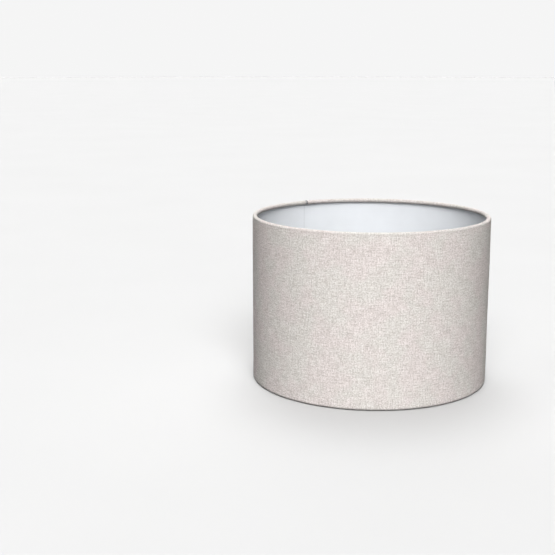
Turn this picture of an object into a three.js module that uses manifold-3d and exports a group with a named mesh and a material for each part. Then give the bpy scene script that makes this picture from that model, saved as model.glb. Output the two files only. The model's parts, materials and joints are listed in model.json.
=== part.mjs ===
// A drum lamp shade: linen cloth laminated on a PVC lining, rolled round a wire ring at the top and at the
// bottom, with a gimbal fitter on two struts inside the bottom ring and a reducer ring in the fitter.
// Units are millimetres and +Z is up. The origin is at the centre of the circle that the shade stands on,
// +Y points at the joint in the rolled edges, where the outer end of the cloth laps over the inner one, and
// the fitter turns about an axis along X.

import * as THREE from "three";
import { mergeVertices } from "three/addons/utils/BufferGeometryUtils.js";
import Module from "manifold-3d";

const wasm = await Module();
wasm.setup();

// Driving dimensions.
const shadeDiameter = 300;
const shadeHeight = 212;
const clothThickness = 0.55;
const liningThickness = 0.35;
const glueFilm = 0.1;
const wireDiameter = 3.5;
const tapeThickness = 0.15;
const overlapWidth = 12;
const seamGap = 2;
const strutDiameter = 3;
const pivotHeight = 36;
const wideBore = 42;
const narrowBore = 29;

// Radii of the laminated wall, from the cloth's outer face inwards.
const clothOuter = shadeDiameter / 2;
const clothInner = clothOuter - clothThickness;
const liningOuter = clothInner - glueFilm;
const liningInner = liningOuter - liningThickness;

// The rolled edge: the wire, the tape on the wire's outer half, and the cloth round both. Every radius
// here is measured from the middle of the wire.
const wireRadius = wireDiameter / 2;
const tapeInnerRadius = wireRadius + 0.1;
const tapeOuterRadius = tapeInnerRadius + tapeThickness;
const rollInner = tapeOuterRadius + 0.15;
const rollOuter = rollInner + clothThickness;
const wireCentre = liningInner - tapeOuterRadius - 0.25;
const topWireHeight = shadeHeight - rollOuter;
const bottomWireHeight = rollOuter;
const tuckEnd = liningInner - 0.6;
const wireSides = 8;

// The seam: one end of the laminate lies over the other, which lifts it by one laminate and the tape.
const seamAngle = 90;
const seamSlack = 0.1;
const seamLift = clothThickness + glueFilm + liningThickness + tapeThickness + 2 * seamSlack;
const overlapAngle = THREE.MathUtils.radToDeg(overlapWidth / clothOuter);
const gapAngle = THREE.MathUtils.radToDeg(seamGap / clothOuter);
const facetAngle = 6;
const liftStart = seamAngle + 360 - 2 * facetAngle;
const rollEnd = seamAngle + 360 - gapAngle;
const overlapTrim = 6;
const tapeMargin = { across: 0.3, along: 2 };

// The struts: where each bends, measured from the middle of the shade, and the stops at its inner end.
const strutGap = 0.15;
const lowerBend = 134;
const upperBend = 46;
const bendRoom = 6;
const slitClearance = 0.7;
const collar = { radius: 2.3, thickness: 1.2 };
const peenedHead = { radius: 2.5, length: 1.8 };

// The gimbal washer, which hangs below the pivot, and its two ears.
const washerRadius = 29;
const washerThickness = 1.5;
const washerDrop = 4.5;
const earWidth = 9;
const earOuter = washerRadius + 1;
const earRootDepth = 4;
const pinClearance = 0.2;
const pinPlay = 0.4;
const washerLow = pivotHeight - washerDrop - washerThickness / 2;
const washerHigh = washerLow + washerThickness;

// The reducer ring, which lies on the washer with its skirt in the wide bore.
const flangeWidth = 2.5;
const flangeThickness = 1.6;
const skirtDepth = 3.7;
const skirtClearance = 0.35;
const skirtWall = 1.4;
const lipWall = 1.6;
const lipHeight = 1.1;
const ribCount = 8;
const ribRadius = 0.6;
const slotCount = 6;
const slotSize = { across: 1.8, along: 8, deep: 6 };

const materials = {
  linen: new THREE.MeshStandardMaterial({ color: 0xdcd4cd, roughness: 0.95, metalness: 0 }),
  lining: new THREE.MeshStandardMaterial({ color: 0xeceff2, roughness: 0.5, metalness: 0 }),
  zinc: new THREE.MeshStandardMaterial({ color: 0xb9bbbc, roughness: 0.5, metalness: 0.9 }),
  tape: new THREE.MeshStandardMaterial({ color: 0xe6e2d6, roughness: 0.6, metalness: 0 }),
  plastic: new THREE.MeshStandardMaterial({ color: 0xf4f3ee, roughness: 0.45, metalness: 0 }),
};

// A three.js geometry as a manifold-3d solid, with its shared vertices merged.
function solidOf(geometry) {
  const bare = new THREE.BufferGeometry().setAttribute(
    "position",
    (geometry.index ? geometry.toNonIndexed() : geometry).getAttribute("position"),
  );
  const merged = mergeVertices(bare, 1e-4);
  return new wasm.Manifold(
    new wasm.Mesh({
      numProp: 3,
      vertProperties: merged.attributes.position.array,
      triVerts: new Uint32Array(merged.index.array),
    }),
  );
}

// A solid's mesh as a three.js geometry.
function geometryOf(solid) {
  const { vertProperties, triVerts } = solid.getMesh();
  const geometry = new THREE.BufferGeometry();
  geometry.setAttribute("position", new THREE.BufferAttribute(vertProperties, 3));
  geometry.setIndex(new THREE.BufferAttribute(triVerts, 1));
  return geometry;
}

// A closed [radius, height] outline turned right round the Z axis.
function ring(outline, segments = 360 / facetAngle) {
  const points = [...outline, outline[0]].map(([radius, height]) => new THREE.Vector2(radius, height));
  return new THREE.LatheGeometry(points, segments).rotateX(Math.PI / 2);
}

// Points on an arc of an ellipse, its ends included, as [radius, height].
function arc([radius, height], [across, up], fromDegrees, toDegrees, steps) {
  return Array.from({ length: steps + 1 }, (_, i) => {
    const angle = THREE.MathUtils.degToRad(fromDegrees + ((toDegrees - fromDegrees) * i) / steps);
    return [radius + across * Math.cos(angle), height + up * Math.sin(angle)];
  });
}

// A sheet bent round the Z axis: its cross-section at each station's angle, with a flat cap on either end.
// sectionAt(lift) gives the section, anticlockwise in [radius, height], where the sheet stands off by lift.
function bentSheet(stations, sectionAt) {
  const sections = stations.map(({ lift }) => sectionAt(lift));
  const count = sections[0].length;
  const positions = stations.flatMap(({ angle }, i) => {
    const turn = THREE.MathUtils.degToRad(angle);
    return sections[i].flatMap(([radius, height]) => [
      radius * Math.cos(turn),
      radius * Math.sin(turn),
      height,
    ]);
  });
  const faces = [];
  for (let i = 0; i + 1 < stations.length; i++)
    for (let j = 0; j < count; j++) {
      const next = (j + 1) % count;
      const [a, b, c, d] = [j, next, next + count, j + count].map((k) => k + i * count);
      faces.push(a, d, b, b, d, c);
    }
  const cap = THREE.ShapeUtils.triangulateShape(
    sections[0].map(([radius, height]) => new THREE.Vector2(radius, height)),
    [],
  );
  const last = (stations.length - 1) * count;
  for (const [a, b, c] of cap) {
    faces.push(a, b, c);
    faces.push(last + a, last + c, last + b);
  }
  const geometry = new THREE.BufferGeometry();
  geometry.setAttribute("position", new THREE.Float32BufferAttribute(positions, 3));
  geometry.setIndex(faces);
  return geometry;
}

// The angles where sheets change direction, shared by every layer so that their facets stay parallel.
function stationsBetween(start, end) {
  const regular = Array.from({ length: 2 * (360 / facetAngle) }, (_, i) => i * facetAngle);
  const atSeam = [0, 360].flatMap((turn) =>
    [-gapAngle, 0, overlapAngle / 2, overlapAngle].map((offset) => seamAngle + turn + offset),
  );
  const angles = [...new Set([...regular, ...atSeam])].sort((a, b) => a - b);
  return angles
    .filter((angle) => angle >= start - 1e-6 && angle <= end + 1e-6)
    .map((angle) => ({ angle, lift: liftAt(angle) }));
}

function liftAt(angle) {
  return seamLift * THREE.MathUtils.smoothstep(angle, liftStart, rollEnd);
}

function rectangle(inner, outer, low, high) {
  return (lift) => [
    [inner + lift, low],
    [outer + lift, low],
    [outer + lift, high],
    [inner + lift, high],
  ];
}

// The cloth's section at the rolled edge on a wire: out of the wall, over the top and tucked in underneath.
// side is 1 at the top and -1 at the bottom; the half turn has a flat facet at its crown.
function rolledEdge(thicknessRadius, wallRadius, wireHeight, side) {
  const crownSteps = 5;
  const crownHeight = thicknessRadius / Math.sin((2 * Math.PI) / crownSteps);
  const inside = wireCentre - thicknessRadius;
  const over = arc(
    [(wallRadius + inside) / 2, wireHeight],
    [(wallRadius - inside) / 2, side * crownHeight],
    0,
    180,
    crownSteps,
  );
  const under = arc([wireCentre, wireHeight], [thicknessRadius, side * thicknessRadius], 180, 270, 3);
  return [...over, ...under.slice(1), [tuckEnd, wireHeight - side * thicknessRadius]];
}

function clothSection(lift) {
  const outerTop = rolledEdge(rollOuter, clothOuter + lift, topWireHeight, 1);
  const innerTop = rolledEdge(rollInner, clothInner + lift, topWireHeight, 1);
  const outerBottom = rolledEdge(rollOuter, clothOuter + lift, bottomWireHeight, -1);
  const innerBottom = rolledEdge(rollInner, clothInner + lift, bottomWireHeight, -1);
  return [...outerTop, ...innerTop.reverse(), ...innerBottom, ...outerBottom.reverse()];
}

// The slit in the bottom roll that the strut on one side (1 or -1 along X) comes out through: from below
// the strut up past the tucked edge of the cloth.
function strutSlit(side) {
  const low = bottomWireHeight - strutDiameter / 2 - slitClearance;
  const high = bottomWireHeight + rollOuter + slitClearance;
  const inner = wireCentre - rollOuter - slitClearance;
  const outer = tuckEnd + seamSlack;
  const slit = new THREE.BoxGeometry(outer - inner, strutDiameter + 2 * slitClearance, high - low);
  return solidOf(slit.translate((side * (outer + inner)) / 2, 0, (high + low) / 2));
}

// A sheet that goes once round the shade and then laps over its own beginning with a plain tongue, which is
// trimmed short of the rolled edges and a hair thinner than the sheet that it grows out of.
function lappedSheet(sectionAt, inner, outer) {
  const band = bentSheet(stationsBetween(seamAngle, rollEnd), sectionAt);
  const root = rollEnd - gapAngle;
  const tongue = bentSheet(
    [
      { angle: root, lift: liftAt(root) },
      ...stationsBetween(rollEnd, seamAngle + 360 + overlapAngle),
    ],
    rectangle(inner + seamSlack / 2, outer - seamSlack / 2, overlapTrim, shadeHeight - overlapTrim),
  );
  return solidOf(band).add(solidOf(tongue));
}

// The cover is one strip of cloth, and both struts come out through slits in its bottom roll.
function clothCover() {
  const cover = lappedSheet(clothSection, clothInner, clothOuter);
  return geometryOf(cover.subtract(strutSlit(1)).subtract(strutSlit(-1)));
}

function liningSheet() {
  const section = rectangle(liningInner, liningOuter, bottomWireHeight, topWireHeight);
  return geometryOf(lappedSheet(section, liningInner, liningOuter));
}

// The double-sided tape between the two ends of the laminate.
function seamTapeStrip() {
  const inner = clothOuter + seamSlack;
  const inset = overlapTrim + tapeMargin.along;
  const offsets = [tapeMargin.across, overlapAngle / 2, overlapAngle - tapeMargin.across];
  return bentSheet(
    offsets.map((offset) => ({ angle: seamAngle + offset, lift: 0 })),
    rectangle(inner, inner + tapeThickness, inset, shadeHeight - inset),
  );
}

function wireRing(height) {
  const sideAngle = 360 / wireSides;
  return ring(
    arc([wireCentre, height], [wireRadius, wireRadius], 0, 360 - sideAngle, wireSides - 1),
  );
}

// Tape round the outer side of a ring, where the ring is stuck to the lining's edge. Its facets are
// parallel to the wire's.
function edgeTape(height) {
  const sideAngle = 360 / wireSides;
  const turn = (radius) =>
    arc([wireCentre, height], [radius, radius], -sideAngle, sideAngle, 2);
  return ring([...turn(tapeOuterRadius), ...turn(tapeInnerRadius).reverse()]);
}

// A round bar along X from one place to another, centred on the pivot axis.
function barOnPivot(radius, fromX, toX, sides = 24) {
  return new THREE.CylinderGeometry(radius, radius, toX - fromX, sides)
    .rotateZ(-Math.PI / 2)
    .translate((fromX + toX) / 2, 0, pivotHeight);
}

// The middle line of the strut on the +X side: level out of the bottom ring, up a slope to the pivot, and
// level again along the pivot axis.
function strutPath() {
  const start = new THREE.Vector3(wireCentre - wireRadius - strutGap, 0, bottomWireHeight);
  const lower = new THREE.Vector3(lowerBend, 0, bottomWireHeight);
  const upper = new THREE.Vector3(upperBend, 0, pivotHeight);
  const end = new THREE.Vector3(earOuter - washerThickness - pinPlay, 0, pivotHeight);
  const slope = upper.clone().sub(lower).setLength(bendRoom);
  const level = new THREE.Vector3(bendRoom, 0, 0);
  const intoLower = lower.clone().add(level);
  const outOfLower = lower.clone().add(slope);
  const intoUpper = upper.clone().sub(slope);
  const outOfUpper = upper.clone().sub(level);
  const path = new THREE.CurvePath();
  path.add(new THREE.LineCurve3(start, intoLower));
  path.add(new THREE.QuadraticBezierCurve3(intoLower, lower, outOfLower));
  path.add(new THREE.LineCurve3(outOfLower, intoUpper));
  path.add(new THREE.QuadraticBezierCurve3(intoUpper, upper, outOfUpper));
  path.add(new THREE.LineCurve3(outOfUpper, end));
  return path;
}

// The peened inner end of a strut, domed towards the middle of the shade.
function strutHead() {
  const dome = arc([0, 0], [peenedHead.radius, peenedHead.length], 0, 90, 5);
  const outline = [[0, 0], ...dome].map(([radius, height]) => new THREE.Vector2(radius, height));
  return new THREE.LatheGeometry(outline, 24)
    .rotateZ(Math.PI / 2)
    .translate(earOuter - washerThickness - pinPlay, 0, pivotHeight);
}

// The strut on the +X side, whose collar stops the washer's ear on one side and its head on the other.
function strut() {
  const section = new THREE.Shape().absarc(0, 0, strutDiameter / 2, 0, 2 * Math.PI);
  const wire = new THREE.ExtrudeGeometry(section, {
    steps: 34,
    curveSegments: 6,
    extrudePath: strutPath(),
  });
  const stop = new THREE.CylinderGeometry(collar.radius, collar.radius, collar.thickness, 24)
    .rotateZ(Math.PI / 2)
    .translate(earOuter + pinPlay + collar.thickness / 2, 0, pivotHeight);
  return geometryOf([stop, strutHead()].reduce((sum, part) => sum.add(solidOf(part)), solidOf(wire)));
}

// A flat ring between two heights.
function disc(outerRadius, innerRadius, low, high, segments = 48) {
  const outline = [
    [innerRadius, low],
    [outerRadius, low],
    [outerRadius, high],
    [innerRadius, high],
  ];
  return ring(outline, segments);
}

// The ear of the washer on one side (1 or -1 along X): an upright tab with a round top and a hole for the
// end of a strut, and the root that carries it on the washer's edge.
function washerEar(side) {
  const tab = new THREE.Shape()
    .moveTo(-earWidth / 2, washerLow)
    .lineTo(earWidth / 2, washerLow)
    .lineTo(earWidth / 2, pivotHeight)
    .absarc(0, pivotHeight, earWidth / 2, 0, Math.PI);
  tab.closePath();
  const holeRadius = strutDiameter / 2 + pinClearance;
  tab.holes.push(new THREE.Path().absarc(0, pivotHeight, holeRadius, 0, 2 * Math.PI, true));
  const upright = new THREE.ExtrudeGeometry(tab, {
    depth: washerThickness,
    bevelEnabled: false,
    curveSegments: 14,
  });
  upright.rotateX(Math.PI / 2).rotateZ(Math.PI / 2);
  upright.translate(side > 0 ? earOuter - washerThickness : -earOuter, 0, 0);
  const root = new THREE.BoxGeometry(earRootDepth, earWidth, washerThickness);
  const rootCentre = earOuter - (washerThickness + earRootDepth) / 2;
  root.translate(side * rootCentre, 0, (washerLow + washerHigh) / 2);
  return solidOf(upright).add(solidOf(root));
}

// A flat washer with two ears bent up.
function gimbalWasher() {
  const flat = solidOf(disc(washerRadius, wideBore / 2, washerLow, washerHigh, 60));
  return geometryOf(flat.add(washerEar(1)).add(washerEar(-1)));
}

// The plastic ring that takes the washer's bore down to a narrower one: a flange on the washer, a skirt
// with crush ribs in the washer's bore, a raised lip round the narrow bore, and slots through the web.
function reducerRing() {
  const seat = washerHigh + glueFilm;
  const flangeTop = seat + flangeThickness;
  const skirtLow = seat - skirtDepth;
  const skirtRadius = wideBore / 2 - skirtClearance;
  const lipRadius = narrowBore / 2 + lipWall;
  const parts = [
    disc(wideBore / 2 + flangeWidth, narrowBore / 2, seat, flangeTop),
    disc(skirtRadius, skirtRadius - skirtWall, skirtLow, seat + flangeThickness / 4),
    disc(lipRadius, narrowBore / 2, skirtLow, flangeTop + lipHeight),
  ];
  for (let i = 0; i < ribCount; i++) {
    const rib = new THREE.CylinderGeometry(ribRadius, ribRadius, skirtDepth, 8).rotateX(Math.PI / 2);
    rib.translate(skirtRadius - skirtWall / 4, 0, seat - skirtDepth / 2 + flangeThickness / 8);
    parts.push(rib.rotateZ((2 * Math.PI * (i + 0.5)) / ribCount));
  }
  let body = parts.map(solidOf).reduce((sum, part) => sum.add(part));
  const slotRadius = (lipRadius + skirtRadius - skirtWall) / 2;
  for (let i = 0; i < slotCount; i++) {
    const slot = new THREE.BoxGeometry(slotSize.across, slotSize.along, slotSize.deep);
    slot.translate(slotRadius, 0, seat).rotateZ((2 * Math.PI * i) / slotCount);
    body = body.subtract(solidOf(slot));
  }
  return geometryOf(body);
}

function named(name, geometry, material) {
  const mesh = new THREE.Mesh(geometry, material);
  mesh.name = name;
  return mesh;
}

const shade = new THREE.Group();
shade.add(
  named("fabric_cover", clothCover(), materials.linen),
  named("pvc_lining", liningSheet(), materials.lining),
  named("seam_tape", seamTapeStrip(), materials.tape),
  named("top_edge_tape", edgeTape(topWireHeight), materials.tape),
  named("bottom_edge_tape", edgeTape(bottomWireHeight), materials.tape),
  named("top_ring", wireRing(topWireHeight), materials.zinc),
  named("bottom_ring", wireRing(bottomWireHeight), materials.zinc),
);

const fitter = new THREE.Group();
const rightStrut = named("right_strut", strut(), materials.zinc);
const leftStrut = named("left_strut", rightStrut.geometry, materials.zinc);
leftStrut.rotation.z = Math.PI;
fitter.add(
  rightStrut,
  leftStrut,
  named("gimbal_washer", gimbalWasher(), materials.zinc),
  named("reducer_ring", reducerRing(), materials.plastic),
);
shade.add(fitter);

export default shade;
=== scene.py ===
import json
import math

import bmesh
import bpy
import numpy as np
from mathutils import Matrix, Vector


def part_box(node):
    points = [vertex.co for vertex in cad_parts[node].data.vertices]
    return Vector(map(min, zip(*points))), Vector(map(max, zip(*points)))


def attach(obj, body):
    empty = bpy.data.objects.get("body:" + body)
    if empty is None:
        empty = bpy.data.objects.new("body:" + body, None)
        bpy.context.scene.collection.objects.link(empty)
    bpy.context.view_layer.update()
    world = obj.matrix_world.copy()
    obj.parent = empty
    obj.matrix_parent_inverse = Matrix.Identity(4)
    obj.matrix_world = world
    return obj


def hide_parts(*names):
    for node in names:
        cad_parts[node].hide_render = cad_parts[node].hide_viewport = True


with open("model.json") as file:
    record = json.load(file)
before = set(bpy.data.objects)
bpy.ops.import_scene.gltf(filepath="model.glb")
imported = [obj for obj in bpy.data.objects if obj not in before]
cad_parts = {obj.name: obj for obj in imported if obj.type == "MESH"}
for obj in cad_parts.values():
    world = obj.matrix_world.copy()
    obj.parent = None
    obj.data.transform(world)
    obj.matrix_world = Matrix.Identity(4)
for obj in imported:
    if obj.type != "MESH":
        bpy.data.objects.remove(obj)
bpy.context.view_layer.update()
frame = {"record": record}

mm = 0.001

# Sizes that the frame gives.
cover_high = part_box("fabric_cover")[1]
lining_low, lining_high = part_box("pvc_lining")
ring_low, ring_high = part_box("top_ring")
tape_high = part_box("top_edge_tape")[1]
seam_tape_low, seam_tape_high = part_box("seam_tape")
strut_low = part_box("right_strut")[0]
washer_low, washer_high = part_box("gimbal_washer")
reducer_low, reducer_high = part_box("reducer_ring")
joints = {joint["name"]: joint for joint in frame["record"]["behaviour"]["joints"]}
pivot_height = joints["gimbal_tilt"]["pos_m"][2]

shade_radius = cover_high[0]
shade_height = cover_high[2]
seam_lift = cover_high[1] - shade_radius
roll_radius = lining_low[2]
wire_radius = (ring_high[2] - ring_low[2]) / 2
wire_centre = ring_high[0] - wire_radius
tape_radius = tape_high[0] - wire_centre
lining_outer = lining_high[0]

# Sizes that the frame doesn't give.
cloth_thickness = 0.55 * mm
lining_thickness = 0.35 * mm
tape_thickness = 0.15 * mm
washer_thickness = 1.5 * mm
overlap_width = 12 * mm
overlap_trim = 6 * mm
notch_width = 2 * mm
slit_half = 2 * mm
lining_inner = lining_outer - lining_thickness
tuck_end = lining_inner - 0.6 * mm

# The joint, as angles round the drum: where the laminate starts, where its rolled edges stop a full turn
# later, and where its flat end stops. It rises over lift_length before the joint.
seam_angle = math.pi / 2
roll_end = seam_angle + 2 * math.pi - notch_width / shade_radius
overlap_end = seam_angle + 2 * math.pi + overlap_width / shade_radius
lift_length = math.radians(12)

# The width of cloth that each rolled edge takes, from its tucked edge to the middle of the roll's outside.
roll_width = 14.8 * mm

# The camera stands in front of the shade and looks slightly down on it.
view_turn = math.radians(33.05)
view_tilt = math.radians(11.78)
camera_distance = 1.3539
camera_height = 0.4116
camera_aside = 0.1185
camera_lens = 69.85
camera_sensor = 36


def smoothstep(x, start, end):
    t = np.clip((x - start) / (end - start), 0, 1)
    return t * t * (3 - 2 * t)


def relief(u, v, wavelength, count, seed, stretch=1.0):
    """A smooth random relief with a spread of about 1, from plane waves of nearly one wavelength."""
    random = np.random.default_rng(seed)
    total = np.zeros(np.broadcast(u, v).shape)
    for _ in range(count):
        heading = random.uniform(0, 2 * math.pi)
        size = wavelength * random.uniform(0.7, 1.5)
        phase = random.uniform(0, 2 * math.pi)
        across = u * math.cos(heading) * stretch + v * math.sin(heading)
        total = total + np.cos(2 * math.pi * across / size + phase)
    return total / math.sqrt(count / 2)


def new_object(name, vertices, faces, uvs=None):
    """A smooth mesh object; uvs has one pair per vertex."""
    mesh = bpy.data.meshes.new(name)
    mesh.from_pydata(np.asarray(vertices, float).tolist(), [], faces)
    mesh.polygons.foreach_set("use_smooth", [True] * len(mesh.polygons))
    if uvs is not None:
        layer = mesh.uv_layers.new(name="threads")
        corners = np.empty(len(mesh.loops), dtype=np.int64)
        mesh.loops.foreach_get("vertex_index", corners)
        layer.data.foreach_set("uv", np.asarray(uvs, float)[corners].ravel())
    mesh.update()
    obj = bpy.data.objects.new(name, mesh)
    bpy.context.scene.collection.objects.link(obj)
    return obj


def sheet_object(name, front, back, uv, keep=None):
    """A closed thin sheet from two grids of points [station][row][xyz], without the cells that keep leaves
    out. uv gives the place of each point on the flat sheet."""
    stations, rows, _ = front.shape
    if keep is None:
        keep = np.ones((stations - 1, rows - 1), bool)
    count = stations * rows
    index = np.arange(count).reshape(stations, rows)
    faces = []
    padded = np.zeros((stations + 1, rows + 1), bool)
    padded[1:-1, 1:-1] = keep
    for i, j in zip(*np.nonzero(keep)):
        a, b = int(index[i, j]), int(index[i + 1, j])
        c, d = int(index[i + 1, j + 1]), int(index[i, j + 1])
        faces.append((a, b, c, d))
        faces.append((d + count, c + count, b + count, a + count))
        sides = (
            (padded[i, j + 1], (d, a)),
            (padded[i + 2, j + 1], (b, c)),
            (padded[i + 1, j], (a, b)),
            (padded[i + 1, j + 2], (c, d)),
        )
        for covered, (p, q) in sides:
            if not covered:
                faces.append((q, p, p + count, q + count))
    vertices = np.concatenate([front.reshape(-1, 3), back.reshape(-1, 3)])
    uvs = np.concatenate([uv.reshape(-1, 2)] * 2)
    obj = new_object(name, vertices, faces, uvs)
    finish_surface(obj)
    return obj


def loft(name, loops, closed=False):
    """A closed mesh through a row of equal loops of points. The row closes on itself or has flat ends."""
    rows, sides, _ = loops.shape
    count = rows * sides
    faces = []
    for i in range(rows if closed else rows - 1):
        for j in range(sides):
            a = i * sides + j
            b = i * sides + (j + 1) % sides
            faces.append((a, b, (b + sides) % count, (a + sides) % count))
    if not closed:
        faces.append(tuple(range(sides)))
        faces.append(tuple(range(count - sides, count)))
    obj = new_object(name, loops.reshape(-1, 3), faces)
    finish_surface(obj)
    return obj


def finish_surface(obj, angle=40):
    """Takes out the vertices that no face uses, turns every face outwards, and keeps only the real edges
    sharp."""
    work = bmesh.new()
    work.from_mesh(obj.data)
    loose = [vertex for vertex in work.verts if not vertex.link_faces]
    bmesh.ops.delete(work, geom=loose, context="VERTS")
    bmesh.ops.recalc_face_normals(work, faces=work.faces)
    work.to_mesh(obj.data)
    work.free()
    obj.data.set_sharp_from_angle(angle=math.radians(angle))


def turned(name, outline, segments=192):
    """A closed [radius, height] outline turned round the Z axis."""
    turn = np.linspace(0, 2 * math.pi, segments, endpoint=False)[:, None]
    outline = np.asarray(outline)
    radius, height = outline[None, :, 0], outline[None, :, 1]
    loops = np.stack(np.broadcast_arrays(radius * np.cos(turn), radius * np.sin(turn), height), 2)
    return loft(name, loops, closed=True)


def rounded(corners, radius, steps=3):
    """An outline with its corners rounded off."""
    corners = np.asarray(corners, float)
    points = []
    befores, afters = np.roll(corners, 1, 0), np.roll(corners, -1, 0)
    for before, corner, after in zip(befores, corners, afters):
        start = corner + (before - corner) * radius / np.linalg.norm(before - corner)
        end = corner + (after - corner) * radius / np.linalg.norm(after - corner)
        for t in np.linspace(0, 1, steps + 1):
            points.append((1 - t) ** 2 * start + 2 * t * (1 - t) * corner + t**2 * end)
    return points


def bar_along_x(name, radius, start, end, height, sides=40):
    """A round bar along the X axis at a height, from start to end."""
    turn = np.linspace(0, 2 * math.pi, sides, endpoint=False)
    y, z = radius * np.cos(turn), height + radius * np.sin(turn)
    loops = [np.stack([x + 0 * turn, y, z], 1) for x in (start, end)]
    return loft(name, np.array(loops))


def combine(base, other, operation):
    """Joins another closed mesh to the base or cuts it away, and removes the other."""
    modifier = base.modifiers.new("combine", "BOOLEAN")
    modifier.operation = operation
    modifier.solver = "EXACT"
    modifier.object = other
    bpy.context.view_layer.update()
    evaluated = base.evaluated_get(bpy.context.evaluated_depsgraph_get())
    mesh = bpy.data.meshes.new_from_object(evaluated)
    base.modifiers.clear()
    base.data = mesh
    bpy.data.objects.remove(other)


def stand_for(piece, node, body, material):
    """Lets a finished piece take the place of a CAD node."""
    piece.data.materials.clear()
    piece.data.materials.append(material)
    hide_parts(node)
    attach(piece, body)


# The laminate: the cloth cover and its lining.

def lift_at(angle):
    """How far the laminate stands off its circle, where its end comes up to lie over its beginning."""
    return seam_lift * smoothstep(angle, roll_end - lift_length, roll_end)


def roll_points(radius, wall_radius, wire_height, side):
    """The cloth's [radius, height] round a wire, from the wall over the crown to the tucked edge."""
    inside = wire_centre - radius
    turn = np.linspace(0, math.pi, 17)
    middle = (wall_radius + inside) / 2
    across = (wall_radius - inside) / 2
    over = np.stack([middle + across * np.cos(turn), wire_height + side * radius * np.sin(turn)], 1)
    turn = np.linspace(math.pi, 1.5 * math.pi, 9)[1:]
    under = np.stack([wire_centre + radius * np.cos(turn), wire_height + side * radius * np.sin(turn)], 1)
    tuck = np.linspace(under[-1], [tuck_end, under[-1, 1]], 4)[1:]
    return np.concatenate([over, under, tuck])


def cover_profile(inset, lift):
    """The cloth's [radius, height] from its bottom edge, round the bottom wire, up the wall and round the
    top wire, on the surface that lies inset below the outer one."""
    radius = roll_radius - inset
    wall_radius = shade_radius + lift - inset
    top = roll_points(radius, wall_radius, shade_height - roll_radius, 1)
    bottom = roll_points(radius, wall_radius, roll_radius, -1)
    heights = np.linspace(overlap_trim, shade_height - overlap_trim, 23)
    wall = np.stack([wall_radius + 0 * heights, heights], 1)
    return np.concatenate([bottom[::-1], wall, top])


def wall_wave(u, v):
    """The slight unevenness of the hand-rolled wall, which the cloth and the lining share."""
    fade = smoothstep(v, 0, 20 * mm) * (1 - smoothstep(v, shade_height - 20 * mm, shade_height))
    return 0.10 * mm * relief(u, v, 110 * mm, count=9, seed=3) * fade


def placed(profile, angles):
    """[angle][point] radius and height, as points."""
    turn = angles[:, None]
    return np.stack([profile[:, :, 0] * np.cos(turn), profile[:, :, 0] * np.sin(turn), profile[:, :, 1]], 2)


def cloth_push(front, u, v):
    """How far each point of the cloth stands off its even shape: gathered where it turns in over the wires,
    wavy along the edges, and slightly uneven on the wall."""
    heights = front[:, :, 1]
    inward = smoothstep(wire_centre - front[:, :, 0], -1.5 * mm, 1.5 * mm)
    gathers = relief(u, v, 6 * mm, count=11, seed=5, stretch=1.4) * inward
    waves = relief(u, v * 0, 24 * mm, count=7, seed=6)
    edge = 1 - smoothstep(np.minimum(heights, shade_height - heights), 2 * mm, 9 * mm)
    return 0.055 * mm * np.clip(gathers, -1, 2.2) + 0.05 * mm * waves * edge + wall_wave(u, heights)


def cloth_cells(middle, rows, slit_centres, slit):
    """Which cells of the cloth are there, for the angle in the middle of each column: all but a slit for
    each strut in the bottom tuck, and the rolled edges of the end that goes on over the start."""
    keep = np.ones((len(middle), rows - 1), bool)
    slit_rows = 15
    for centre in slit_centres:
        keep[np.abs(middle - centre) < slit, :slit_rows] = False
    roll_rows = len(roll_points(roll_radius, shade_radius, roll_radius, -1))
    tongue = middle > roll_end
    keep[tongue, :roll_rows] = False
    keep[tongue, rows - roll_rows - 1:] = False
    return keep


def make_cover():
    slit = slit_half / shade_radius
    slit_centres = [math.pi, 2 * math.pi]
    stops = [centre + side * slit for centre in slit_centres for side in (-1, 1)] + [roll_end]
    angles = np.unique(np.concatenate([np.linspace(seam_angle, overlap_end, 600), stops]))
    front = np.array([cover_profile(0, lift_at(angle)) for angle in angles])
    back = np.array([cover_profile(cloth_thickness, lift_at(angle)) for angle in angles])
    steps = np.linalg.norm(np.diff(front[0], axis=0), axis=1)
    along = np.concatenate([[0], np.cumsum(steps)])
    u = (angles * shade_radius)[:, None]
    v = along[None, :]
    tangent = np.gradient(front, axis=1)
    tangent /= np.linalg.norm(tangent, axis=2, keepdims=True)
    normal = np.stack([tangent[:, :, 1], -tangent[:, :, 0]], 2)
    push = normal * cloth_push(front, u, v)[:, :, None]
    front = front + push
    back = back + push
    front[:, :, 1] = np.clip(front[:, :, 1], 0, shade_height)

    middle = (angles[1:] + angles[:-1]) / 2
    keep = cloth_cells(middle, front.shape[1], slit_centres, slit)
    uv = np.stack(np.broadcast_arrays(u, v), 2)
    cover = sheet_object("linen_cover", placed(front, angles), placed(back, angles), uv, keep)
    stand_for(cover, "fabric_cover", "shade", linen_material(along[-1]))


def make_lining():
    """The white sheet behind the cloth, from wire to wire. Its end also goes on over its start."""
    angles = np.unique(np.append(np.linspace(seam_angle, overlap_end, 480), roll_end))
    wall = np.linspace(overlap_trim, shade_height - overlap_trim, 38)
    heights = np.concatenate([[lining_low[2]], wall, [lining_high[2]]])[None, :]
    u = angles[:, None] * lining_outer
    radius = lift_at(angles)[:, None] + wall_wave(angles[:, None] * shade_radius, heights)

    def surface(start):
        return placed(np.stack(np.broadcast_arrays(start + radius, heights), 2), angles)

    keep = np.ones((len(angles) - 1, heights.size - 1), bool)
    tongue = (angles[1:] + angles[:-1]) / 2 > roll_end
    keep[tongue, 0] = False
    keep[tongue, -1] = False
    uv = np.stack(np.broadcast_arrays(u, heights), 2)
    lining = sheet_object("white_lining", surface(lining_outer), surface(lining_inner), uv, keep)
    stand_for(lining, "pvc_lining", "shade", lining_material())


# The rings and the tapes.

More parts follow.
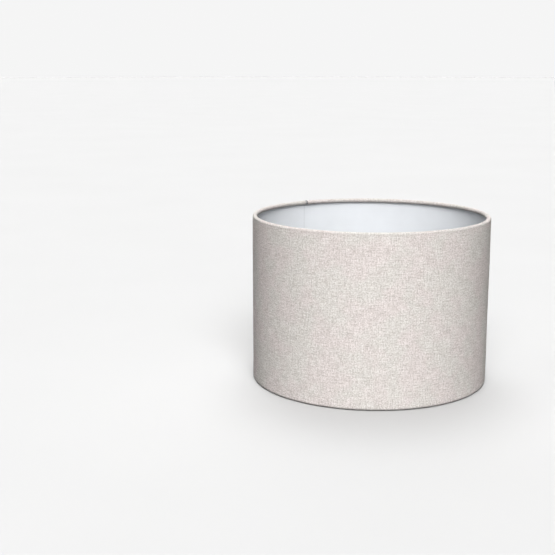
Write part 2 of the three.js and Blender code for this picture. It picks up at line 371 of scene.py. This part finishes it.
def circle(centre, radius, start, end, steps):
    """Points on an arc round a centre, from the start angle to the end angle."""
    turn = np.linspace(start, end, steps)
    return [(centre[0] + radius * math.cos(t), centre[1] + radius * math.sin(t)) for t in turn]


def make_rings_and_tapes():
    """The two wires, the tape on the outside of each and the tape in the joint."""
    sides = 28
    gap = 0.1 * mm
    for name, height in (("top", shade_height - roll_radius), ("bottom", roll_radius)):
        centre = (wire_centre, height)
        outline = circle(centre, wire_radius, 0, 2 * math.pi * (1 - 1 / sides), sides)
        ring = turned(name + "_wire", outline, 256)
        stand_for(ring, name + "_ring", "shade", wire_zinc)
        quarter = math.pi / 4
        outline = circle(centre, tape_radius, -quarter, quarter, 9)
        outline += circle(centre, tape_radius - tape_thickness, quarter, -quarter, 9)
        tape = turned(name + "_wire_tape", outline, 256)
        stand_for(tape, name + "_edge_tape", "shade", tape_film)

    low, high = seam_tape_low[2], seam_tape_high[2]
    inset = 0.3 * mm
    edge = math.asin(-seam_tape_low[0] / shade_radius)
    angles = seam_angle + np.linspace(inset / shade_radius, edge, 9)
    heights = np.linspace(low, high, 30)[None, :]
    uv = np.stack(np.broadcast_arrays(angles[:, None] * shade_radius, heights), 2)
    outer = shade_radius + tape_thickness + gap

    def surface(radius):
        return placed(np.stack(np.broadcast_arrays(radius + 0 * angles[:, None], heights), 2), angles)

    tape = sheet_object("seam_film", surface(outer), surface(outer - tape_thickness), uv)
    stand_for(tape, "seam_tape", "shade", tape_film)


# The fitter.

def bend(start, corner, end, steps):
    """Points on a smooth bend from one place to another, round a corner."""
    start, corner, end = map(np.asarray, (start, corner, end))
    t = np.linspace(0, 1, steps)[:, None]
    return (1 - t) ** 2 * start + 2 * t * (1 - t) * corner + t**2 * end


def strut_line():
    """The strut on the +X side, as its middle line [x, z] and its radius at each station, from its weld on
    the bottom ring to its peened head, and how many sections stand upright at each end."""
    thick = 1.5 * mm
    collar = 2.3 * mm
    head = 2.5 * mm
    head_height = 1.6 * mm
    bevel = 0.2 * mm
    room = 6 * mm
    ring_side = wire_centre - wire_radius
    lower = np.array([134 * mm, roll_radius])
    upper = np.array([46 * mm, pivot_height])
    slope = (upper - lower) / np.linalg.norm(upper - lower) * room
    level = np.array([room, 0])

    weld = np.linspace(ring_side + 0.7 * mm, ring_side - 3 * mm, 13)
    fillet = thick + 0.45 * mm * np.exp(-((weld - ring_side) / (1.1 * mm)) ** 2)
    line = [np.stack([weld, roll_radius + 0 * weld], 1)]
    radii = [fillet]
    for points in (
        bend(lower + level, lower, lower + slope, 9),
        bend(upper - slope, upper, upper - level, 9),
    ):
        line.append(points)
        radii.append(np.full(len(points), thick))

    # The collar outside the ear and the peened head inside it, as [x, radius].
    ear_outer = washer_high[0] + 0.4 * mm
    ear_inner = strut_low[0] + head_height + bevel
    rise = np.linspace(0, math.radians(87), 9)
    stops = [(ear_outer + 1.8 * mm, thick), (ear_outer + 1.3 * mm, thick + bevel)]
    stops += [(ear_outer + 1.2 * mm, collar - bevel), (ear_outer + 1.0 * mm, collar)]
    stops += [(ear_outer + bevel, collar), (ear_outer, collar - bevel), (ear_outer, thick)]
    stops += [(ear_inner, thick), (ear_inner, head - 0.15 * mm), (ear_inner - bevel, head)]
    stops += [(ear_inner - bevel - head_height * math.sin(r), head * math.cos(r)) for r in rise[1:]]
    stops = np.array(stops)
    line.append(np.stack([stops[:, 0], pivot_height + 0 * stops[:, 0]], 1))
    radii.append(stops[:, 1])
    # The sections stand upright all along the weld and the head, and already near the upper bend's end.
    upright_in_bend = 7
    return np.concatenate(line), np.concatenate(radii), len(weld), upright_in_bend + len(stops)


def make_struts():
    line, radii, weld_upright, head_upright = strut_line()
    step = np.gradient(line, axis=0)
    step[:weld_upright] = [-1, 0]
    step[-head_upright:] = [-1, 0]
    step /= np.linalg.norm(step, axis=1, keepdims=True)
    turn = np.linspace(0, 2 * math.pi, 28, endpoint=False)[None, :]
    across = radii[:, None] * np.cos(turn)
    up = radii[:, None] * np.sin(turn)
    x = line[:, :1] - up * step[:, 1:]
    z = line[:, 1:] + up * step[:, :1]
    for name, side in (("right", 1), ("left", -1)):
        strut = loft(name + "_strut_wire", np.stack([side * x, across, z], 2))
        stand_for(strut, name + "_strut", "shade", wire_zinc)


def ear_object(side):
    """An ear of the washer: a strip that leaves the flat ring, bends up and ends in a half round. It is a
    little thinner than the ring, so that the two join without faces in one plane."""
    thickness = washer_thickness - 0.02 * mm
    width = 9 * mm
    middle = washer_low[2] + washer_thickness / 2
    out = washer_high[0] - washer_thickness / 2
    curve = 1.5 * mm
    line = [(24.5 * mm, middle), (26 * mm, middle)]
    line += [
        (out - curve + curve * math.sin(t), middle + curve - curve * math.cos(t))
        for t in np.linspace(0, math.pi / 2, 9)
    ]
    halves = [width / 2] * len(line)
    for t in np.linspace(0, math.radians(86), 15):
        line.append((out, pivot_height + width / 2 * math.sin(t)))
        halves.append(width / 2 * math.cos(t))
    line = np.array(line)
    step = np.gradient(line, axis=0)
    step /= np.linalg.norm(step, axis=1, keepdims=True)
    loops = []
    for (x, z), (along_x, along_z), half in zip(line, step, halves):
        corner = min(0.3 * mm, half * 0.6)
        box = [(-half, -1), (half, -1), (half, 1), (-half, 1)]
        section = np.array(rounded([(a, b * thickness / 2) for a, b in box], corner))
        loops.append(
            np.stack([side * (x - section[:, 1] * along_z), section[:, 0], z + section[:, 1] * along_x], 1)
        )
    return loft("ear", np.array(loops))


def make_washer():
    """The pressed washer: a ring with a notch at each side, in which an ear stands up."""
    low, high = washer_low[2], washer_low[2] + washer_thickness
    bore, edge = 21 * mm, washer_high[1]
    notch_start, notch_half = 27 * mm, 5.1 * mm
    hole = 1.7 * mm
    outline = rounded([(bore, low), (edge, low), (edge, high), (bore, high)], 0.3 * mm)
    washer = turned("swing_washer", outline)
    under, above = low - mm, high + mm
    section = [(-notch_half, under), (notch_half, under), (notch_half, above), (-notch_half, above)]
    for side in (1, -1):
        ends = (side * notch_start, side * (edge + 2 * mm))
        loops = [[(x, y, z) for y, z in section] for x in ends]
        combine(washer, loft("notch", np.array(loops)), "DIFFERENCE")
    for side in (1, -1):
        combine(washer, ear_object(side), "UNION")
        ends = [side * (washer_high[0] - 3 * mm), side * (washer_high[0] + mm)]
        combine(washer, bar_along_x("hole", hole, *ends, pivot_height), "DIFFERENCE")
    finish_surface(washer)
    stand_for(washer, "gimbal_washer", "fitter", plate_zinc)


def make_reducer():
    """The moulded reducer: a flange with slots, a lip round the bore, and a skirt with small ribs, which
    fits the washer's bore."""
    low, high = reducer_low[2], reducer_high[2]
    seat = washer_low[2] + washer_thickness + 0.1 * mm
    flange = seat + 1.6 * mm
    bore, lip = 14.5 * mm, 16.1 * mm
    skirt_inner, skirt_outer = 19.25 * mm, 20.65 * mm
    corners = [(bore, low), (lip, low), (lip, seat), (skirt_inner, seat), (skirt_inner, low)]
    corners += [(skirt_outer, low), (skirt_outer, seat), (reducer_high[0], seat)]
    corners += [(reducer_high[0], flange), (lip, flange), (lip, high), (bore, high)]
    ring = turned("bore_reducer", rounded(corners, 0.3 * mm))

    rib_count, rib_radius = 8, 0.6 * mm
    reach = skirt_outer - 0.35 * mm
    turn = np.linspace(0, 2 * math.pi, 20, endpoint=False)
    stations = [(low + 0.25 * mm, rib_radius - 0.2 * mm), (low + 0.6 * mm, rib_radius)]
    stations += [(seat + 0.3 * mm, rib_radius)]
    for i in range(rib_count):
        centre = (i + 0.5) * 2 * math.pi / rib_count
        x, y = reach * math.cos(centre), reach * math.sin(centre)
        loops = []
        for z, r in stations:
            loops.append(np.stack([x + r * np.cos(turn), y + r * np.sin(turn), z + 0 * turn], 1))
        combine(ring, loft("rib", np.array(loops)), "UNION")

    slot_count, slot_half, slot_width = 6, 4 * mm, 0.9 * mm
    middle = (lip + skirt_inner) / 2
    along = np.linspace(-1, 1, 9)
    halves = slot_width * np.sqrt(1 - (0.97 * along) ** 6)
    under, above = seat - mm, flange + mm
    for i in range(slot_count):
        turns = i * 2 * math.pi / slot_count + along * slot_half / middle
        loops = []
        for t, half in zip(turns, halves):
            near, far = middle - half, middle + half
            section = [(near, under), (far, under), (far, above), (near, above)]
            loops.append([(r * math.cos(t), r * math.sin(t), z) for r, z in section])
        combine(ring, loft("slot", np.array(loops)), "DIFFERENCE")
    finish_surface(ring)
    stand_for(ring, "reducer_ring", "reducer", moulded)


# Materials.

class Nodes:
    """A material's node tree, with short calls for the few kinds of node used here."""

    def __init__(self, name):
        self.material = bpy.data.materials.new(name)
        self.material.use_nodes = True
        self.tree = self.material.node_tree
        self.shader = self.tree.nodes["Principled BSDF"]

    def add(self, kind, **settings):
        node = self.tree.nodes.new("ShaderNode" + kind)
        for key, value in settings.items():
            setattr(node, key, value)
        return node

    def join(self, source, target):
        self.tree.links.new(source, target)

    def put(self, socket, value):
        if isinstance(value, bpy.types.NodeSocket):
            self.join(value, socket)
        else:
            socket.default_value = value

    def math(self, operation, *values):
        node = self.add("Math", operation=operation)
        for socket, value in zip(node.inputs, values):
            self.put(socket, value)
        return node.outputs[0]

    def product(self, first, *others):
        for other in others:
            first = self.math("MULTIPLY", first, other)
        return first

    def threads(self, per_metre):
        """The place on the flat sheet, along and across it, in metres times a scale."""
        source = self.add("UVMap", uv_map="threads").outputs[0]
        node = self.add("Mapping")
        self.join(source, node.inputs["Vector"])
        node.inputs["Scale"].default_value = (per_metre, per_metre, 1)
        return node.outputs[0]

    def place(self, scale):
        """The place in space, in metres times a scale."""
        source = self.add("TexCoord").outputs["Object"]
        node = self.add("Mapping")
        self.join(source, node.inputs["Vector"])
        node.inputs["Scale"].default_value = (scale, scale, scale)
        return node.outputs[0]

    def noise(self, vector, scale=1.0, detail=2.0, roughness=0.5, distortion=0.0):
        node = self.add("TexNoise")
        self.join(vector, node.inputs["Vector"])
        node.inputs["Scale"].default_value = scale
        node.inputs["Detail"].default_value = detail
        node.inputs["Roughness"].default_value = roughness
        node.inputs["Distortion"].default_value = distortion
        return node.outputs["Fac"]

    def ramp(self, value, stops):
        node = self.add("ValToRGB")
        self.join(value, node.inputs["Fac"])
        elements = node.color_ramp.elements
        while len(elements) < len(stops):
            elements.new(0.5)
        for element, (position, colour) in zip(elements, stops):
            element.position = position
            element.color = (*colour, 1)
        return node.outputs["Color"]

    def mix(self, factor, first, second, blend="MIX"):
        node = self.add("Mix", data_type="RGBA", blend_type=blend)
        self.put(node.inputs["Factor"], factor)
        self.put(node.inputs[6], first if isinstance(first, bpy.types.NodeSocket) else (*first, 1))
        self.put(node.inputs[7], second if isinstance(second, bpy.types.NodeSocket) else (*second, 1))
        return node.outputs[2]

    def grey(self, value):
        """A colour with one value in all three channels."""
        node = self.add("CombineColor")
        for socket in node.inputs:
            self.join(value, socket)
        return node.outputs[0]

    def range(self, value, low, high, to_low, to_high):
        node = self.add("MapRange")
        for socket, number in zip(node.inputs, (value, low, high, to_low, to_high)):
            self.put(socket, number)
        return node.outputs[0]

    def bump(self, height, distance, strength=1.0):
        node = self.add("Bump")
        self.join(height, node.inputs["Height"])
        node.inputs["Distance"].default_value = distance
        node.inputs["Strength"].default_value = strength
        self.join(node.outputs[0], self.shader.inputs["Normal"])


def painted_edge_shades(n, u, v, width):
    """Painted shade on the cloth's rolled edges, one value for each place. The bottom roll is painted dark
    as the contact shadow where it meets what the lampshade stands on. The top roll is painted darker over
    its crown, against the light that falls on it, and darker again where it is tucked in. The cut ends at
    the joint are painted dark as the shadow in the notch where the cloth is rolled, but not on the wall."""
    top = width - roll_width
    # Painted contact shadow on the bottom roll, and painted shade over the top roll's crown and at its
    # tuck.
    painted_contact_shade = n.range(v, roll_width - 1.2 * mm, roll_width + 0.8 * mm, 0.47, 1.0)
    crown = n.range(v, top - 1.8 * mm, top + 1.6 * mm, 1.0, 0.79)
    tucked = n.range(v, width - 8 * mm, width - 5 * mm, 1.0, 0.85)
    # Painted shadow in the notch, at the cut ends of the rolled cloth.
    from_start = n.math("ABSOLUTE", n.math("SUBTRACT", u, seam_angle * shade_radius))
    from_end = n.math("ABSOLUTE", n.math("SUBTRACT", u, roll_end * shade_radius))
    cut = n.range(n.math("MINIMUM", from_start, from_end), 0.2 * mm, 1.1 * mm, 0.30, 1.0)
    past_bottom = n.range(v, roll_width, roll_width + mm, 0, 1)
    before_top = n.range(v, top - mm, top, 1, 0)
    on_wall = n.math("MULTIPLY", past_bottom, before_top)
    return painted_contact_shade, crown, tucked, n.math("MAXIMUM", cut, on_wall)


def linen_material(width):
    """Heathered plain weave: pale and taupe threads both ways, with slubs, in faintly pink and green
    patches, on a strip as wide as given, with painted shade in the weave's hollows and on the rolled edges."""
    n = Nodes("linen")

    # The number of the column and of the row of threads at each place. They wander a little, so that the
    # threads don't run dead straight.
    pitch = 0.9 * mm
    wander = n.add("TexNoise")
    n.join(n.threads(120), wander.inputs["Vector"])
    wander.inputs["Scale"].default_value = 1.0
    wander.inputs["Detail"].default_value = 1.0
    drift = n.add("SeparateColor")
    n.join(wander.outputs["Color"], drift.inputs[0])
    place = n.add("SeparateXYZ")
    n.join(n.threads(1), place.inputs[0])
    u, v = place.outputs[0], place.outputs[1]
    column = n.math("ADD", n.math("MULTIPLY", u, 1 / pitch), drift.outputs[0])
    row = n.math("ADD", n.math("MULTIPLY", v, 1 / pitch), drift.outputs[1])

    # Plain weave: over is 1 where a warp thread lies on top, and -1 where a weft thread does.
    warp_wave = n.math("COSINE", n.math("MULTIPLY", column, math.pi))
    weft_wave = n.math("COSINE", n.math("MULTIPLY", row, math.pi))
    over = n.math("MULTIPLY", warp_wave, weft_wave)
    warp_top = n.math("ADD", n.math("ABSOLUTE", warp_wave), over)
    weft_top = n.math("SUBTRACT", n.math("ABSOLUTE", weft_wave), over)
    weave = n.math("MAXIMUM", warp_top, weft_top)
    is_warp = n.range(n.math("SUBTRACT", warp_top, weft_top), -0.15, 0.15, 0.0, 1.0)

    # Each thread has its own tone, which changes along it. The weft's tones come from another layer of the
    # noise than the warp's.
    slub = 1 / (14 * mm)
    thread_step, weft_layer = 0.83, 40
    warp_place = n.add("CombineXYZ")
    n.join(n.math("MULTIPLY", n.math("ROUND", column), thread_step), warp_place.inputs[0])
    n.join(n.math("MULTIPLY", v, slub), warp_place.inputs[1])
    weft_place = n.add("CombineXYZ")
    n.join(n.math("MULTIPLY", u, slub), weft_place.inputs[0])
    n.join(n.math("MULTIPLY", n.math("ROUND", row), thread_step), weft_place.inputs[1])
    weft_place.inputs[2].default_value = weft_layer
    warp_tone = n.noise(warp_place.outputs[0], detail=2)
    weft_tone = n.noise(weft_place.outputs[0], detail=2)
    blend = n.add("Mix", data_type="FLOAT")
    for socket, source in zip(blend.inputs, (is_warp, None, weft_tone, warp_tone)):
        if source:
            n.join(source, socket)
    speck = n.noise(n.threads(1 / (1.8 * mm)), detail=2.5, roughness=0.6)
    tone = n.math("ADD", n.math("MULTIPLY", blend.outputs[0], 0.45), n.math("MULTIPLY", speck, 0.55))
    fibre = n.ramp(
        tone,
        [
            (0.36, (0.45, 0.41, 0.38)),
            (0.46, (0.605, 0.565, 0.535)),
            (0.54, (0.735, 0.70, 0.675)),
            (0.64, (0.875, 0.85, 0.83)),
        ],
    )
    cloud = n.noise(n.threads(1 / (36 * mm)), detail=3, roughness=0.5)
    hue = n.ramp(cloud, [(0.42, (0.994, 0.959, 0.964)), (0.58, (0.974, 0.979, 0.966))])
    colour = n.mix(1.0, fibre, hue, "MULTIPLY")

    mottle = n.range(n.noise(n.threads(1 / (12 * mm)), detail=2), 0.3, 0.7, 0.97, 1.03)
    # Painted shade in the weave's hollows between the threads.
    painted_weave_shade = n.range(weave, 0.0, 1.2, 0.86, 1.03)
    # The cloth's tone: its random mottle times the painted shade in the weave and on the rolled edges.
    shade = n.product(painted_weave_shade, mottle, *painted_edge_shades(n, u, v, width))
    colour = n.mix(1.0, colour, n.grey(shade), "MULTIPLY")
    n.join(colour, n.shader.inputs["Base Color"])
    n.shader.inputs["Roughness"].default_value = 0.92
    n.shader.inputs["Specular IOR Level"].default_value = 0.15
    height = n.math("ADD", weave, n.math("MULTIPLY", tone, 2.0))
    n.bump(height, 0.12 * mm, 0.8)
    return n.material


def lining_material():
    """Smooth white film, with a painted shadow of the step along the joint, where a cut end meets the other
    end of the strip.
    """
    n = Nodes("white_pvc")
    mottle = n.noise(n.threads(40), detail=3)
    colour = n.ramp(mottle, [(0.3, (0.632, 0.649, 0.672)), (0.7, (0.658, 0.676, 0.699))])
    place = n.add("SeparateXYZ")
    n.join(n.threads(1), place.inputs[0])
    from_start = n.math("SUBTRACT", place.outputs[0], seam_angle * lining_outer)
    from_joint = n.math("PINGPONG", from_start, math.pi * lining_outer)
    # Painted shadow of the step at the joint.
    joint = n.range(from_joint, 0.3 * mm, 1.1 * mm, 0.80, 1.0)
    colour = n.mix(1.0, colour, n.grey(joint), "MULTIPLY")
    n.join(colour, n.shader.inputs["Base Color"])
    n.join(n.range(mottle, 0.3, 0.7, 0.42, 0.5), n.shader.inputs["Roughness"])
    n.bump(n.noise(n.threads(900), detail=2), 0.02 * mm, 0.4)
    n.shader.inputs["Specular IOR Level"].default_value = 0.35
    return n.material


def coated_material(name, pale, deep, roughness):
    """Plastic with slight clouds and a fine spark texture."""
    n = Nodes(name)
    patch = n.noise(n.place(90), detail=3)
    n.join(n.ramp(patch, [(0.3, deep), (0.7, pale)]), n.shader.inputs["Base Color"])
    n.join(n.range(patch, 0.3, 0.7, roughness - 0.05, roughness + 0.05), n.shader.inputs["Roughness"])
    n.bump(n.noise(n.place(1400), detail=2), 0.03 * mm, 0.5)
    return n.material


def zinc_material(name, tone, grain):
    """Dull zinc: cool grey metal with soft spangles and the fine scratches of handling."""
    n = Nodes(name)
    n.shader.inputs["Metallic"].default_value = 0.85
    spangle = n.noise(n.place(grain), detail=1, distortion=0.6)
    fine = n.noise(n.place(2500), detail=2)
    pale = [1.12 * channel for channel in tone]
    n.join(n.ramp(spangle, [(0.35, tone), (0.62, pale)]), n.shader.inputs["Base Color"])
    n.join(n.range(spangle, 0.3, 0.7, 0.56, 0.42), n.shader.inputs["Roughness"])
    n.bump(fine, 0.02 * mm, 0.5)
    return n.material


# The floor, the light and the camera.

# Soft lights: turn is measured from the camera's side towards its right, rise from level, both in
# degrees, and spread is how wide the light is, seen from the shade.
lights = {
    "key": dict(turn=0, rise=40, spread=40, power=4.28),
    "low_fill": dict(turn=0, rise=10, spread=40, power=0.51),
    "left_fill": dict(turn=-90, rise=45, spread=40, power=0.30),
    "top": dict(turn=0, rise=89, spread=60, power=0.26),
    "back": dict(turn=180, rise=50, spread=40, power=0.56),
    "high_back": dict(turn=180, rise=70, spread=40, power=1.75),
    "low_back": dict(turn=180, rise=8, spread=50, power=1.2),
}
backdrop_brightness = 0.915
sky_brightness = 0.0
ground_brightness = 0.067


def make_stage():
    """A wide pale floor, and a dome over it that looks as bright. Only the camera sees the dome. The floor
    takes shadows but throws no light back, because the world's ground does that. The dome starts a little
    below the floor, so that no gap shows between them."""
    reach = 18
    corners = [(-reach, -reach, 0), (reach, -reach, 0), (reach, reach, 0), (-reach, reach, 0)]
    floor = new_object("floor", corners, [(0, 1, 2, 3)])
    n = Nodes("paper")
    tint = n.noise(n.place(3), detail=2)
    paper = n.ramp(tint, [(0.3, (0.508, 0.508, 0.508)), (0.7, (0.517, 0.517, 0.517))])
    n.join(paper, n.shader.inputs["Base Color"])
    n.shader.inputs["Roughness"].default_value = 0.9
    n.shader.inputs["Specular IOR Level"].default_value = 0
    floor.data.materials.append(n.material)
    floor.visible_diffuse = False
    floor.visible_shadow = False

    turns = np.linspace(0, 2 * math.pi, 48, endpoint=False)
    rises = np.linspace(-0.05, math.pi / 2, 13)
    points = [
        (reach * math.cos(r) * math.cos(t), reach * math.cos(r) * math.sin(t), reach * math.sin(r))
        for r in rises
        for t in turns
    ]
    count = len(turns)
    faces = []
    for i in range(len(rises) - 1):
        for j in range(count):
            a, b = i * count + j, i * count + (j + 1) % count
            faces.append((a, b, b + count, a + count))
    dome = new_object("backdrop", points, faces)
    n = Nodes("backdrop")
    n.shader.inputs["Base Color"].default_value = (0, 0, 0, 1)
    n.shader.inputs["Specular IOR Level"].default_value = 0
    n.shader.inputs["Emission Color"].default_value = (1, 1, 1, 1)
    n.shader.inputs["Emission Strength"].default_value = backdrop_brightness
    dome.data.materials.append(n.material)
    dome.visible_diffuse = False
    dome.visible_glossy = False
    dome.visible_transmission = False
    dome.visible_shadow = False


def make_light(name, turn, rise, spread, power):
    """A sun, which lies in the direction given by turn and rise."""
    data = bpy.data.lights.new(name, "SUN")
    data.energy = power
    data.angle = math.radians(spread)
    light = bpy.data.objects.new(name, data)
    heading = math.radians(turn) - view_turn
    light.rotation_euler = (math.pi / 2 - math.radians(rise), 0, heading)
    bpy.context.scene.collection.objects.link(light)


def make_world():
    """A black sky, because the lights do all its work, and a faint even light from the ground."""
    world = bpy.data.worlds.new("studio")
    world.use_nodes = True
    tree = world.node_tree
    background = tree.nodes["Background"]
    background.inputs["Color"].default_value = (1, 1, 1, 1)
    direction = tree.nodes.new("ShaderNodeTexCoord").outputs["Generated"]
    split = tree.nodes.new("ShaderNodeSeparateXYZ")
    tree.links.new(direction, split.inputs[0])
    level = tree.nodes.new("ShaderNodeMapRange")
    tree.links.new(split.outputs["Z"], level.inputs["Value"])
    for name, value in (
        ("From Min", -0.08),
        ("From Max", 0.08),
        ("To Min", ground_brightness),
        ("To Max", sky_brightness),
    ):
        level.inputs[name].default_value = value
    tree.links.new(level.outputs["Result"], background.inputs["Strength"])
    bpy.context.scene.world = world
    bpy.context.scene.view_settings.view_transform = "Standard"


def make_camera():
    data = bpy.data.cameras.new("camera")
    data.lens = camera_lens
    data.sensor_width = camera_sensor
    camera = bpy.data.objects.new("camera", data)
    look = np.array([math.sin(view_turn), math.cos(view_turn), 0])
    right = np.array([math.cos(view_turn), -math.sin(view_turn), 0])
    camera.location = -camera_distance * look - camera_aside * right + [0, 0, camera_height]
    camera.rotation_euler = (math.pi / 2 - view_tilt, 0, -view_turn)
    bpy.context.scene.collection.objects.link(camera)
    bpy.context.scene.camera = camera


wire_zinc = zinc_material("galvanised_wire", (0.45, 0.46, 0.46), 420)
plate_zinc = zinc_material("zinc_plate", (0.38, 0.39, 0.39), 260)
moulded = coated_material("moulded_plastic", (0.63, 0.62, 0.60), (0.60, 0.59, 0.57), 0.48)
tape_film = coated_material("tape_film", (0.66, 0.64, 0.57), (0.62, 0.60, 0.53), 0.35)

make_camera()
make_world()
for light_name, facts in lights.items():
    make_light(light_name, **facts)
make_stage()
make_cover()
make_lining()
make_rings_and_tapes()
make_struts()
make_washer()
make_reducer()
